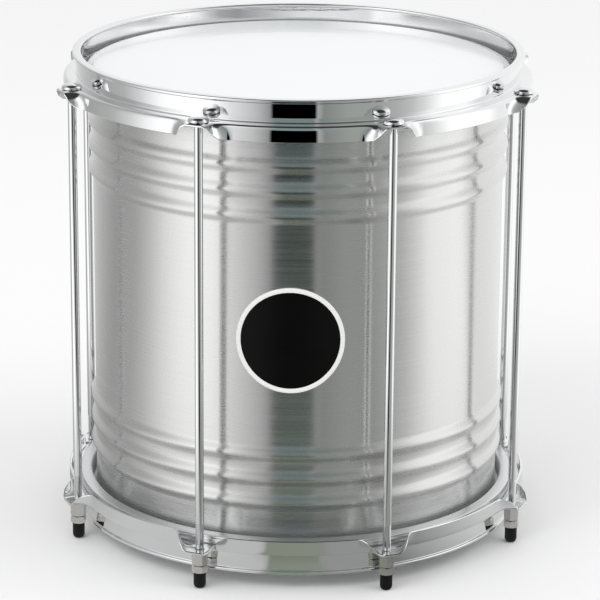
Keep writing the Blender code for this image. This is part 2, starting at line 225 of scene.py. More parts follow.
@dataclass(frozen=True)
class Finish:
    """A surface finish, from one grain pattern and one slower pattern of handling marks."""

    name: str
    colour: Colour
    colour_shift: float
    metallic: float
    roughness: float
    roughness_spread: float
    grain: Grain
    grain_depth: float
    mark_scale: float = 26.0
    mark_share: float = 0.4
    anisotropy: float = 0.0
    specular: float = 0.5
    coat: float = 0.0

    def make(self) -> bpy.types.Material:
        """Build the finish's material.

        Returns:
            A Principled material whose colour, roughness and bump follow the patterns.
        """
        material = bpy.data.materials.new(self.name)
        material.use_nodes = True
        material.diffuse_color = (*self.colour, 1.0)
        tree = material.node_tree
        shader = tree.nodes["Principled BSDF"]
        place = tree.nodes.new("ShaderNodeTexCoord").outputs["Object"]
        grain = self._noise(tree, place, self.grain.value, detail=5.0)
        marks = self._noise(tree, place, (self.mark_scale,) * 3, detail=3.0)
        both = tree.nodes.new("ShaderNodeMix")
        both.inputs["Factor"].default_value = self.mark_share
        tree.links.new(grain, both.inputs["A"])
        tree.links.new(marks, both.inputs["B"])
        pattern = both.outputs["Result"]
        self._tint(tree, pattern, shader)
        self._roughen(tree, pattern, shader)
        self._raise_grain(tree, grain, shader)
        if self.anisotropy:
            self._brush(tree, shader)
        shader.inputs["Metallic"].default_value = self.metallic
        shader.inputs["Specular IOR Level"].default_value = self.specular
        shader.inputs["Coat Weight"].default_value = self.coat
        return material

    def _noise(
        self,
        tree: bpy.types.NodeTree,
        place: bpy.types.NodeSocket,
        scales: tuple[float, float, float],
        detail: float,
    ) -> bpy.types.NodeSocket:
        """Add a noise pattern in object space.

        Args:
            tree: The material's node tree.
            place: The object coordinates.
            scales: How fast the pattern changes along each axis.
            detail: How many finer layers it has.

        Returns:
            The pattern's value, near 0.5 on average.
        """
        mapping = tree.nodes.new("ShaderNodeMapping")
        mapping.inputs["Scale"].default_value = scales
        noise = tree.nodes.new("ShaderNodeTexNoise")
        noise.inputs["Scale"].default_value = 1.0
        noise.inputs["Detail"].default_value = detail
        noise.inputs["Roughness"].default_value = NOISE_ROUGHNESS
        tree.links.new(place, mapping.inputs["Vector"])
        tree.links.new(mapping.outputs["Vector"], noise.inputs["Vector"])
        return noise.outputs["Fac"]

    def _tint(
        self,
        tree: bpy.types.NodeTree,
        pattern: bpy.types.NodeSocket,
        shader: bpy.types.Node,
    ) -> None:
        """Let the colour drift a little darker and lighter with the pattern."""
        ramp = tree.nodes.new("ShaderNodeValToRGB")
        low, high = ramp.color_ramp.elements
        low.position, high.position = PATTERN_RANGE
        low.color = (*(value * (1.0 - self.colour_shift) for value in self.colour), 1.0)
        high.color = (*(min(value * (1.0 + self.colour_shift), 1.0) for value in self.colour), 1.0)
        tree.links.new(pattern, ramp.inputs["Fac"])
        tree.links.new(ramp.outputs["Color"], shader.inputs["Base Color"])

    def _roughen(
        self,
        tree: bpy.types.NodeTree,
        pattern: bpy.types.NodeSocket,
        shader: bpy.types.Node,
    ) -> None:
        """Spread the roughness about its middle with the pattern."""
        spread = tree.nodes.new("ShaderNodeMapRange")
        least = max(self.roughness - self.roughness_spread, LEAST_ROUGHNESS)
        spread.inputs["From Min"].default_value = PATTERN_RANGE[0]
        spread.inputs["From Max"].default_value = PATTERN_RANGE[1]
        spread.inputs["To Min"].default_value = least
        spread.inputs["To Max"].default_value = self.roughness + self.roughness_spread
        tree.links.new(pattern, spread.inputs["Value"])
        tree.links.new(spread.outputs["Result"], shader.inputs["Roughness"])

    def _raise_grain(
        self,
        tree: bpy.types.NodeTree,
        grain: bpy.types.NodeSocket,
        shader: bpy.types.Node,
    ) -> None:
        """Give the grain its depth, in metres, as a bump."""
        bump = tree.nodes.new("ShaderNodeBump")
        bump.inputs["Strength"].default_value = 1.0
        bump.inputs["Distance"].default_value = self.grain_depth
        tree.links.new(grain, bump.inputs["Height"])
        tree.links.new(bump.outputs["Normal"], shader.inputs["Normal"])

    def _brush(self, tree: bpy.types.NodeTree, shader: bpy.types.Node) -> None:
        """Stretch highlights across a grain that runs round the drum."""
        tangent = tree.nodes.new("ShaderNodeTangent")
        tangent.direction_type = "RADIAL"
        tangent.axis = "Z"
        shader.inputs["Anisotropic"].default_value = self.anisotropy
        shader.inputs["Anisotropic Rotation"].default_value = ACROSS_THE_GRAIN
        tree.links.new(tangent.outputs["Tangent"], shader.inputs["Tangent"])


SPUN_ALUMINIUM = Finish(
    "spun_aluminium", (0.74, 0.74, 0.735), 0.05, 1.0, 0.27, 0.05,
    Grain.ROUND_THE_DRUM, 0.6e-6, mark_scale=9.0, mark_share=0.25, anisotropy=1.0,
)
# The flesh hoop ring's finish: aluminium whose colour is set darker as painted shade, so the
# trough between the film's collar and the hoop wall reads shadowed.
MILL_ALUMINIUM_PAINTED_SHADE = Finish(
    "mill_aluminium_painted_shade", (0.78, 0.785, 0.79), 0.05, 1.0, 0.3, 0.08, Grain.ROUND_THE_DRUM, 6.0e-6
)
HOOP_CHROME = Finish(
    "hoop_chrome", (0.86, 0.865, 0.87), 0.015, 1.0, 0.022, 0.012, Grain.SOFT_WAVES, 1.0e-5
)
ROD_CHROME = Finish(
    "rod_chrome", (0.84, 0.845, 0.85), 0.03, 1.0, 0.05, 0.03, Grain.ALONG_THE_ROD, 1.0e-6
)
SATIN_NICKEL = Finish(
    "satin_nickel", (0.70, 0.685, 0.66), 0.07, 1.0, 0.27, 0.08, Grain.ALL_WAYS, 8.0e-6
)
WHITE_FILM = Finish(
    "white_film", (0.865, 0.875, 0.89), 0.006, 0.0, 0.16, 0.04,
    Grain.ALL_WAYS, 2.0e-6, mark_scale=14.0, coat=0.3,
)
BLACK_RUBBER = Finish(
    "black_rubber", (0.004, 0.0045, 0.0045), 0.25, 0.0, 0.5, 0.1,
    Grain.ALL_WAYS, 2.0e-5, specular=0.25,
)
BADGE_BLACK = Finish(
    "badge_black", (0.0035, 0.003, 0.003), 0.1, 0.0, 0.3, 0.04,
    Grain.SOFT_WAVES, 8.0e-6, specular=0.12,
)
BADGE_WHITE = Finish(
    "badge_white", (0.84, 0.84, 0.83), 0.02, 0.0, 0.28, 0.06, Grain.ALL_WAYS, 3.0e-6
)


def finish_piece(piece: bpy.types.Object, material: bpy.types.Material) -> None:
    """Give a piece its material."""
    piece.data.materials.clear()
    piece.data.materials.append(material)


# The drum's sub-assemblies


@dataclass(frozen=True)
class DrumPlan:
    """Sizes that more than one sub-assembly is built to, in metres."""

    fit_gap: float = 0.0003
    shell_radius: float = 0.1490
    shell_edge_round: float = 0.0020
    head_radius: float = 0.1524
    film_thickness: float = 0.00025
    hoop_sheet: float = 0.0016
    head_above_flange: float = 0.0069
    lug_circle_radius: float = 0.1714
    rod_radius: float = 0.0030
    upper_head_z: float = field(default_factory=lambda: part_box("top_head")[1][2])
    lower_head_z: float = field(default_factory=lambda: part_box("bottom_head")[0][2])

    @property
    def upper_flange_z(self) -> float:
        """The height of the upper flange's top face."""
        return self.upper_head_z - self.head_above_flange + self.hoop_sheet

    @property
    def lower_flange_z(self) -> float:
        """The height of the lower flange's downward face."""
        return self.lower_head_z + self.head_above_flange - self.hoop_sheet

    @property
    def collar_radius(self) -> float:
        """The outside radius of a film's collar."""
        return self.head_radius + self.fit_gap + self.film_thickness

    def lug_place(self, number: int, height: float, turn: float = 0.0) -> Matrix:
        """Return the place of a piece on a lug's axis.

        Args:
            number: The lug's number, from 1.
            height: The piece's height above the floor.
            turn: How far the piece is turned from facing outward.

        Returns:
            The placing matrix.
        """
        angle = lug_angle(number)
        centre = Vector((math.cos(angle), math.sin(angle), 0.0)) * self.lug_circle_radius
        centre.z = height
        return Matrix.Translation(centre) @ Matrix.Rotation(angle + turn, 4, "Z")


@dataclass
class Shell:
    """The spun shell, with turned-in bearing edges and two groups of raised beads."""

    plan: DrumPlan
    wall: float = 0.0015
    edge_turn_in: float = 0.0060
    edge_fall: float = 0.0010
    bead_rise: float = 0.0032
    bead_width: float = 0.0140
    bead_pitch: float = 0.0178
    bead_inset: float = 0.0375
    beads_in_group: int = 3
    bead_steps: int = 12
    edge_steps: int = 6
    sides: int = 288

    def build(self) -> None:
        """Spin the shell and put it in place of the CAD node."""
        low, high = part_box("shell")
        outline = self._edge(high[2], -1.0)
        centres = self._bead_heights(low[2], high[2])
        for centre in centres:
            outline += self._bead(centre, self.plan.shell_radius)
        outline += self._edge(low[2], 1.0)[::-1]
        for centre in centres[::-1]:
            outline += self._bead(centre, self.plan.shell_radius - self.wall)[::-1]
        outline.append(outline[0])
        piece = turn_on_lathe("spun_shell", outline, self.sides)
        finish_piece(piece, SPUN_ALUMINIUM.make())
        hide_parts("shell")
        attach(piece, DRUM_BODY)
        log.info("shell: %d faces", len(piece.data.polygons))

    def _edge(self, end: float, inward: float) -> list[Point]:
        """Return a bearing edge, from the inner wall over the round to the outer wall."""
        radius = self.plan.shell_radius
        rim = radius - self.edge_turn_in
        points = [
            (radius - self.wall, end + inward * (self.edge_fall + 2.0 * self.wall)),
            (rim, end + inward * (self.edge_fall + self.wall)),
            (rim, end + inward * self.edge_fall),
        ]
        edge_round = self.plan.shell_edge_round
        for step in range(self.edge_steps + 1):
            angle = QUARTER * step / self.edge_steps
            points.append((
                radius - edge_round + edge_round * math.sin(angle),
                end + inward * edge_round * (1.0 - math.cos(angle)),
            ))
        return points

    def _bead_heights(self, low: float, high: float) -> list[float]:
        """Return the heights of the beads' middles, highest first."""
        insets = [self.bead_inset + self.bead_pitch * step for step in range(self.beads_in_group)]
        return [high - inset for inset in insets] + [low + inset for inset in insets[::-1]]

    def _bead(self, centre: float, base: float) -> list[Point]:
        """Return one bead's rounded outline on a wall, from its upper edge to its lower."""
        points = []
        for step in range(self.bead_steps + 1):
            share = 1.0 - 2.0 * step / self.bead_steps
            swell = 0.5 + 0.5 * math.cos(math.pi * share)
            height = centre + share * self.bead_width / 2.0
            points.append((base + self.bead_rise * swell, height))
        return points


@dataclass
class Head:
    """One plastic head: its film, with a collar, and the ring that grips the collar."""

    plan: DrumPlan
    upside_down: bool
    slope: float = math.radians(12)
    collar_bend: float = 0.0014
    film_tuck: float = 0.0060
    flesh_width: float = 0.0078
    flesh_height: float = 0.0064
    flesh_corner: float = 0.0009
    fold_place: float = 0.35
    fold_depth: float = 0.0004
    bend_steps: int = 6
    sides: int = 224

    def build(self, film: bpy.types.Material, channel: bpy.types.Material) -> None:
        """Build the film and its ring in place of their CAD nodes.

        Args:
            film: The film's material.
            channel: The ring's material, its colour set darker as painted shade for the trough.
        """
        end = "bottom" if self.upside_down else "top"
        height = self.plan.lower_head_z if self.upside_down else self.plan.upper_head_z
        place = Matrix.Translation((0.0, 0.0, height))
        if self.upside_down:
            place = place @ Matrix.Rotation(math.pi, 4, "X")
        for part, outline, material, slot in (
            ("head", self._film_outline(), film, "head_film"),
            ("flesh_hoop", self._ring_outline(), channel, "flesh_hoop_aluminium"),
        ):
            pattern = turn_on_lathe("pattern", outline, self.sides)
            piece = place_copy(pattern, f"{end}_{part}_fine", place)
            bpy.data.objects.remove(pattern, do_unlink=True)
            finish_piece(piece, material)
            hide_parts(f"{end}_{part}")
            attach(piece, DRUM_BODY)
            log.info("%s %s: %d faces", end, part, len(piece.data.polygons))

    def _film_outline(self) -> list[Point]:
        """Return the film's section: flat, over the shell's edge and down to its collar."""
        plan = self.plan
        outer = plan.collar_radius
        inner = outer - plan.film_thickness
        inner_round = plan.shell_edge_round + plan.fit_gap
        outer_round = inner_round + plan.film_thickness
        collar_end = -plan.head_above_flange - plan.fit_gap - self.film_tuck
        centre = (plan.shell_radius - plan.shell_edge_round, -outer_round)
        over = arc(centre, outer_round, QUARTER, QUARTER - self.slope, self.bend_steps)
        under = arc(centre, inner_round, QUARTER - self.slope, QUARTER, self.bend_steps)
        points = [(0.0, 0.0), (outer * 0.5, 0.0), *over]
        points += self._bend_down(over[-1], outer, self.collar_bend)
        points += [(outer, collar_end), (inner, collar_end)]
        bend = self.collar_bend - plan.film_thickness
        points += [*self._bend_down(under[0], inner, bend)[::-1], *under]
        points += [(outer * 0.5, -plan.film_thickness), (0.0, -plan.film_thickness)]
        return points

    def _bend_down(self, start: Point, radius: float, bend: float) -> list[Point]:
        """Return the round that takes the film's slope down into its collar.

        Args:
            start: Where the slope starts.
            radius: The collar's radius.
            bend: The round's radius.

        Returns:
            The round's points, from the slope to the collar.
        """
        touch = radius - bend + bend * math.sin(self.slope)
        drop = (touch - start[0]) * math.tan(self.slope) + bend * math.cos(self.slope)
        return arc((radius - bend, start[1] - drop), bend, QUARTER - self.slope, 0.0, 5)

    def _ring_outline(self) -> list[Point]:
        """Return the ring's section: a folded channel with rounded corners and a lip."""
        plan = self.plan
        inner = plan.collar_radius + plan.fit_gap
        outer = inner + self.flesh_width
        top = -plan.head_above_flange - plan.fit_gap
        low = top - self.flesh_height
        corner = self.flesh_corner
        fold = low + self.flesh_height * self.fold_place
        points = [(inner, top)]
        points += arc((outer - corner, top - corner), corner, QUARTER, 0.0, 3)
        points += [(outer, fold + corner), (outer - self.fold_depth, fold), (outer, fold - corner)]
        points += arc((outer - corner, low + corner), corner, 0.0, -QUARTER, 3)
        points += [(inner, low), (inner, top)]
        return points


@dataclass
class CounterHoop:
    """A pressed triple-flanged hoop: rolled lip, wall, flange, skirt and eight ears."""

    plan: DrumPlan
    wall_radius: float = 0.1605
    wall_draft: float = 0.0007
    wall_height: float = 0.0163
    lip_inner_radius: float = 0.1564
    lip_outer_radius: float = 0.1627
    lip_height: float = 0.0026
    lip_round: float = 0.0011
    lip_fillet: float = 0.0005
    corner_bend: float = 0.0018
    support: float = 0.0004
    support_lean: float = 0.1
    skirt_radius: float = 0.1693
    skirt_depth: float = 0.0115
    skirt_bend: float = 0.0030
    ear_tip_radius: float = 0.1802
    ear_half_flat: float = 0.0062
    ear_half_root: float = 0.0212
    least_bend: float = 1e-3
    edge_ease: float = 0.0004
    skirt_steps: int = 4
    bore_sides: int = 32
    sides: int = LUG_COUNT * 44

    @property
    def half(self) -> float:
        """Half of the sheet's thickness."""
        return self.plan.hoop_sheet / 2.0

    @property
    def bend_start(self) -> float:
        """The radius where the flange starts to bend down into the skirt."""
        return self.skirt_radius - self.skirt_bend

    @property
    def bend_radius(self) -> float:
        """The radius of the sheet's mid-line round the skirt's bend."""
        return self.skirt_bend - self.half

    @property
    def bend_length(self) -> float:
        """The length of the mid-line round the skirt's bend."""
        return self.bend_radius * QUARTER

    @property
    def skirt_length(self) -> float:
        """The straight length of the plain skirt."""
        return self.skirt_depth - self.skirt_bend

    def build(self, chrome: bpy.types.Material) -> None:
        """Model the hoop once and place it right way up above and upside down below.

        Args:
            chrome: The hoops' material.
        """
        pattern = turn_on_lathe("hoop_pattern", self._section(), self.sides)
        self._press_ears(pattern)
        apply_boolean(pattern, self._bore_tool(), "DIFFERENCE")
        upright = Matrix.Translation((0.0, 0.0, self.plan.upper_flange_z))
        turned = Matrix.Translation((0.0, 0.0, self.plan.lower_flange_z))
        turned = turned @ Matrix.Rotation(math.pi, 4, "X")
        for node, place in (("top_hoop", upright), ("bottom_hoop", turned)):
            piece = place_copy(pattern, f"{node}_pressed", place)
            finish_piece(piece, chrome)
            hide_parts(node)
            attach(piece, DRUM_BODY)
            log.info("%s: %d faces", node, len(piece.data.polygons))
        bpy.data.objects.remove(pattern, do_unlink=True)

    def _midline(self) -> list[tuple[float, float, float]]:
        """Return the mid-line from the wall's foot to the skirt, as radius, height, normal."""
        wall = self.wall_radius - self.wall_draft - self.half
        corner_centre = (wall + self.corner_bend, self.corner_bend - self.half)
        skirt_centre = (self.bend_start, -self.half - self.bend_radius)
        line = [(wall + self.support * self.support_lean, corner_centre[1] + self.support, 0.0)]
        for centre, radius, first, last, steps, facing in (
            (corner_centre, self.corner_bend, math.pi, math.pi + QUARTER, 6, math.pi),
            (skirt_centre, self.bend_radius, QUARTER, 0.0, 8, 0.0),
        ):
            for number, (reach, height) in enumerate(arc(centre, radius, first, last, steps)):
                angle = first + (last - first) * number / steps
                line.append((reach, height, angle + facing))
            if last > math.pi:
                line.append((corner_centre[0] + self.support, -self.half, QUARTER))
                line.append((skirt_centre[0] - self.support, -self.half, QUARTER))
        edge_radius = self.skirt_radius - self.half
        for step in range(1, self.skirt_steps + 1):
            share = step / self.skirt_steps
            height = skirt_centre[1] - (self.skirt_length - self.edge_ease) * share
            line.append((edge_radius, height, 0.0))
        return line

    def _lip(self) -> tuple[list[Point], list[Point]]:
        """Return the rolled lip's outer and inner outlines, from its top to the wall."""
        top = self.wall_height
        low = top - self.lip_height
        round_height = top - self.lip_round
        low_height = low + self.lip_round
        fillet = self.lip_fillet
        lean = self.support * self.support_lean
        outer = self.lip_outer_radius - self.lip_round
        inner = self.lip_inner_radius + self.lip_round
        outside = arc((outer, round_height), self.lip_round, QUARTER, 0.0, 6)
        outside += arc((outer, low_height), self.lip_round, 0.0, -QUARTER, 6)
        wall = self.wall_radius + self.wall_draft
        outside += arc((wall + fillet, low - fillet), fillet, QUARTER, math.pi, 3)
        outside.append((wall - lean, low - fillet - self.support))
        inside = arc((inner, round_height), self.lip_round, QUARTER, math.pi, 6)
        inside += arc((inner, low_height), self.lip_round, math.pi, math.pi + QUARTER, 6)
        wall -= self.plan.hoop_sheet
        inside += arc((wall - fillet, low - fillet), fillet, QUARTER, 0.0, 3)
        inside.append((wall - lean, low - fillet - self.support))
        return outside, inside

    def _section(self) -> list[Point]:
        """Return the closed section of the plain hoop, in the frame of its flange."""
        line = self._midline()
        outside, inside = self._lip()
        for radius, height, normal in line:
            reach = self.half * math.cos(normal), self.half * math.sin(normal)
            outside.append((radius + reach[0], height + reach[1]))
            inside.append((radius - reach[0], height - reach[1]))
        eased = self.half - self.edge_ease
        skirt_radius, skirt_end, _ = line[-1]
        skirt_end -= self.edge_ease
        outside += [(skirt_radius + eased, skirt_end), (skirt_radius - eased, skirt_end)]
        return outside + inside[::-1] + outside[:1]

    def _press_share(self, offset: float) -> float:
        """Return how far the skirt is bent down: 0 on the flat ear, 1 on the plain skirt."""
        share = (abs(offset) - self.ear_half_flat) / (self.ear_half_root - self.ear_half_flat)
        share = min(max(share, 0.0), 1.0)
        return share * share * (3.0 - 2.0 * share)

    def _bent(self, radius: float, height: float, share: float) -> Point:
        """Return where a point of the plain skirt lies once it is pressed to an ear.

        Args:
            radius: The point's radius on the plain skirt.
            height: Its height on the plain skirt.
            share: How far the skirt stays bent there.

        Returns:
            Its new radius and height.
        """
        centre_height = -self.half - self.bend_radius
        if height > centre_height:
            angle = math.atan2(radius - self.bend_start, height - centre_height)
            off = math.hypot(radius - self.bend_start, height - centre_height) - self.bend_radius
            along = self.bend_radius * angle
        else:
            off = radius - self.bend_start - self.bend_radius
            along = self.bend_length + centre_height - height
        bend = max(share, self.least_bend) * QUARTER
        curve = self.bend_length / bend
        turned = min(along / curve, bend)
        radius = self.bend_start + (curve + off) * math.sin(turned)
        height = -self.half - curve + (curve + off) * math.cos(turned)
        ear_length = self.ear_tip_radius - self.bend_start - self.bend_length
        straight = ear_length + (self.skirt_length - ear_length) * share
        run = max(along - self.bend_length, 0.0) * straight / self.skirt_length
        return radius + run * math.cos(bend), height - run * math.sin(bend)

    def _press_ears(self, piece: bpy.types.Object) -> None:
        """Press the skirt flat at each lug, keeping the sheet's thickness."""
        lug_step = FULL_TURN / LUG_COUNT
        for vert in piece.data.vertices:
            radius = math.hypot(vert.co.x, vert.co.y)
            if radius <= self.bend_start:
                continue
            angle = math.atan2(vert.co.y, vert.co.x)
            from_lug = (angle - lug_angle(1) + lug_step / 2.0) % lug_step - lug_step / 2.0
            share = self._press_share(from_lug * self.skirt_radius)
            if share == 1.0:
                continue
            radius, height = self._bent(radius, vert.co.z, share)
            vert.co = (radius * math.cos(angle), radius * math.sin(angle), height)

    def _bore_tool(self) -> bpy.types.Object:
        """Return eight bars that cut the rods' holes in the ears."""
        bars = []
        for number in range(1, LUG_COUNT + 1):
            bpy.ops.object.select_all(action="DESELECT")
            bpy.ops.mesh.primitive_cylinder_add(
                vertices=self.bore_sides,
                radius=self.plan.rod_radius + self.plan.fit_gap,
                depth=0.01,
                location=self.plan.lug_place(number, 0.0).translation,
            )
            bars.append(name_new_piece(f"bore_{number}"))
        for bar in bars:
            bar.select_set(True)
        bpy.ops.object.join()
        return bpy.context.object


@dataclass
class TensionRod:
    """A full-length rod: low domed head, plain shank and a real thread at the foot."""

    plan: DrumPlan
    head_radius: float = 0.0072
    head_height: float = 0.0040
    head_rim: float = 0.0010
    head_edge: float = 0.0003
    head_steps: int = 10
    thread_root: float = 0.00239
    thread_pitch: float = 0.001
    tooth_foot: float = 0.16
    tooth_crest: tuple[float, float] = (0.52, 0.64)
    thread_steps: int = 16
    thread_above_flange: float = 0.0212
    foot_height: float = 0.0033
    sides: int = 32
    turns_deg: tuple[float, ...] = (8.0, 61.0, 133.0, 27.0, 94.0, 171.0, 48.0, 112.0)

    def build(self, chrome: bpy.types.Material) -> None:
        """Model one rod and place eight.

        Args:
            chrome: The rods' material.
        """
        top = self.plan.lower_flange_z + self.thread_above_flange
        pattern = turn_on_lathe("rod_pattern", self._shank_outline(top), self.sides)
        thread = self._thread(top)
        select_only(pattern)
        thread.select_set(True)
        bpy.ops.object.join()
        for number in range(1, LUG_COUNT + 1):
            turn = math.radians(self.turns_deg[number - 1])
            place = self.plan.lug_place(number, 0.0, turn)
            piece = place_copy(pattern, f"threaded_rod_{number}", place)
            finish_piece(piece, chrome)
            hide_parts(f"tension_rod_{number}")
            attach(piece, DRUM_BODY)
        log.info("rods: %d faces each", len(pattern.data.polygons))
        bpy.data.objects.remove(pattern, do_unlink=True)

    def _shank_outline(self, thread_top: float) -> list[Point]:
        """Return the head and shank's outline, from the dome down to the thread."""
        seat = self.plan.upper_flange_z + self.plan.fit_gap
        rim = seat + self.head_rim
        dome = self.head_height - self.head_rim
        edge = self.head_edge
        points = []
        for step in range(self.head_steps + 1):
            angle = QUARTER * (1.0 - step / self.head_steps)
            points.append((self.head_radius * math.cos(angle), rim + dome * math.sin(angle)))
        points[0] = (0.0, rim + dome)
        shank = self.plan.rod_radius
        return points + [
            (self.head_radius, seat + edge),
            (self.head_radius - edge, seat),
            (shank, seat),
            (shank, thread_top),
            (self.thread_root, thread_top - self.thread_pitch / 2.0),
            (0.0, thread_top - self.thread_pitch / 2.0),
        ]

    def _thread(self, thread_top: float) -> bpy.types.Object:
        """Wind the thread from the rod's foot up to the shank."""
        pitch = self.thread_pitch
        crest = self.plan.rod_radius
        turns = int((thread_top - self.foot_height) / pitch)
        tooth = [
            (self.thread_root, 0.0),
            (self.thread_root, pitch * self.tooth_foot),
            (crest, pitch * self.tooth_crest[0]),
            (crest, pitch * self.tooth_crest[1]),
            (self.thread_root, pitch),
        ]
        outline = [(radius, height + self.foot_height) for radius, height in tooth]
        thread = draw_outline("rod_thread", outline)
        select_only(thread)
        screw = thread.modifiers.new("thread", "SCREW")
        screw.axis = "Z"
        screw.screw_offset = pitch
        screw.iterations = turns
        screw.steps = self.thread_steps
        screw.render_steps = self.thread_steps
        screw.use_merge_vertices = True
        screw.merge_threshold = MERGE_DISTANCE
        bpy.ops.object.modifier_apply(modifier=screw.name)
        bpy.ops.object.mode_set(mode="EDIT")
        bpy.ops.mesh.select_all(action="SELECT")
        bpy.ops.mesh.remove_doubles(threshold=MERGE_DISTANCE)
        bpy.ops.mesh.select_all(action="SELECT")
        bpy.ops.mesh.fill_holes(sides=0)
        close_and_smooth(thread)
        return thread


@dataclass
class HexNuts:
    """The two chamfered hexagon nuts on each rod."""

    plan: DrumPlan
    across_flats: float = 0.0100
    bore_radius: float = 0.00315
    sink_radius: float = 0.0036
    face_share: float = 0.96
    chamfer_angle: float = math.radians(30)
    chamfer_sides: int = 96
    bore_sides: int = 32
    rests_deg: tuple[float, ...] = (10.0, 12.0, 48.0, 3.0, 37.0, 21.0, 24.0, 13.0)

    def build(self, nickel: bpy.types.Material) -> None:
        """Model a tall and a thin nut and place eight of each on their turning bodies.

        Args:
            nickel: The nuts' material.
        """
        for kind in ("tension_nut", "lock_nut"):
            low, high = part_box(f"{kind}_1")
            pattern = self._nut(high[2] - low[2])
            for number in range(1, LUG_COUNT + 1):
                turn = math.radians(self.rests_deg[number - 1])
                place = self.plan.lug_place(number, low[2], turn)
                piece = place_copy(pattern, f"hex_{kind}_{number}", place)
                finish_piece(piece, nickel)
                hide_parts(f"{kind}_{number}")
                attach(piece, f"{kind}_{number}_body")
            log.info("%s: %d faces each", kind, len(pattern.data.polygons))
            bpy.data.objects.remove(pattern, do_unlink=True)

    def _nut(self, height: float) -> bpy.types.Object:
        """Cut one nut from a hexagon bar: turned chamfers, then a countersunk bore."""
        corner = self.across_flats / 2.0 / math.cos(math.pi / 6.0)
        bpy.ops.object.select_all(action="DESELECT")
        bpy.ops.mesh.primitive_cylinder_add(
            vertices=6, radius=corner, depth=height, location=(0.0, 0.0, height / 2.0)
        )
        nut = name_new_piece("nut_pattern")
        bpy.ops.object.transform_apply(location=True, rotation=True, scale=True)
        face = self.across_flats / 2.0 * self.face_share
        reach = corner + self.plan.fit_gap
        chamfer = (reach - face) * math.tan(self.chamfer_angle)
        turned = [
            (0.0, height), (face, height), (reach, height - chamfer),
            (reach, chamfer), (face, 0.0), (0.0, 0.0),
        ]
        chamfer_tool = turn_on_lathe("chamfer_tool", turned, self.chamfer_sides)
        apply_boolean(nut, chamfer_tool, "INTERSECT")
        sink = self.sink_radius - self.bore_radius
        over = self.sink_radius + self.plan.fit_gap
        bore = [
            (0.0, height + self.plan.fit_gap), (over, height + self.plan.fit_gap),
            (self.bore_radius, height - sink), (self.bore_radius, sink),
            (over, -self.plan.fit_gap), (0.0, -self.plan.fit_gap),
        ]
        apply_boolean(nut, turn_on_lathe("bore_tool", bore, self.bore_sides), "DIFFERENCE")
        return nut


@dataclass
class RubberTips:
    """The moulded tips that the drum stands on."""

    plan: DrumPlan
    radius: float = 0.0044
    length: float = 0.0115
    floor: float = 0.0030
    flat_radius: float = 0.0020
    dome: float = 0.0035
    edge: float = 0.0004
    bore_radius: float = 0.0031
    dome_steps: int = 8
    sides: int = 40

    def build(self, rubber: bpy.types.Material) -> None:
        """Model one tip and place eight.

        Args:
            rubber: The tips' material.
        """
        pattern = turn_on_lathe("tip_pattern", self._outline(), self.sides)
        for number in range(1, LUG_COUNT + 1):
            piece = place_copy(pattern, f"moulded_tip_{number}", self.plan.lug_place(number, 0.0))
            finish_piece(piece, rubber)
            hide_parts(f"rubber_tip_{number}")
            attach(piece, DRUM_BODY)
        log.info("tips: %d faces each", len(pattern.data.polygons))
        bpy.data.objects.remove(pattern, do_unlink=True)

    def _outline(self) -> list[Point]:
        """Return the tip's section, from the bore's floor round to the standing flat."""
        points = [(0.0, self.floor), (self.bore_radius, self.floor)]
        points += [(self.bore_radius, self.length), (self.radius - self.edge, self.length)]
        points.append((self.radius, self.length - self.edge))
        for step in range(self.dome_steps + 1):
            angle = QUARTER * step / self.dome_steps
            reach = self.flat_radius + (self.radius - self.flat_radius) * math.cos(angle)
            points.append((reach, self.dome * (1.0 - math.sin(angle))))
        points.append((0.0, 0.0))
        return points


@dataclass
class Badge:
    """The round badge on the front: a bare gloss black plate inside a pale ring."""

    plan: DrumPlan
    height: float = 0.1799
    azimuth: float = math.radians(-1.15)
    radius: float = 0.0380
    ring_width: float = 0.0032
    plate_proud: float = 0.0005
    ring_proud: float = 0.0007
    seat_gap: float = 0.00002
    edge_rise: float = 0.0002
    edge_run: float = 0.0003
    rings: int = 10
    sides: int = 128

    def build(self) -> None:
        """Build the plate and the ring, curved to the shell."""
        inner = self.radius - self.ring_width
        rise = self.plate_proud
        plate = [(inner * step / self.rings, rise) for step in range(self.rings + 1)]
        plate += [(inner * (1.0 - step / self.rings), 0.0) for step in range(self.rings + 1)]
        middle = inner + self.ring_width / 2.0
        eased = self.ring_proud - self.edge_rise
        ring = [
            (inner, 0.0), (inner, eased), (inner + self.edge_run, self.ring_proud),
            (middle, self.ring_proud), (self.radius - self.edge_run, self.ring_proud),
            (self.radius, eased), (self.radius, 0.0), (middle, 0.0), (inner, 0.0),
        ]
        for name, outline, finish in (
            ("badge_plate", plate, BADGE_BLACK),
            ("badge_ring", ring, BADGE_WHITE),
        ):
            piece = turn_on_lathe(name, outline, self.sides)
            self._wrap(piece)
            finish_piece(piece, finish.make())
            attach(piece, DRUM_BODY)
            log.info("%s: %d faces", name, len(piece.data.polygons))

    def _wrap(self, piece: bpy.types.Object) -> None:
        """Curve a flat piece on to the shell's front."""
        for vert in piece.data.vertices:
            across, up, proud = vert.co
            angle = -QUARTER + self.azimuth + across / self.plan.shell_radius
            radius = self.plan.shell_radius + self.seat_gap + proud
            vert.co = (radius * math.cos(angle), radius * math.sin(angle), self.height + up)


# Studio


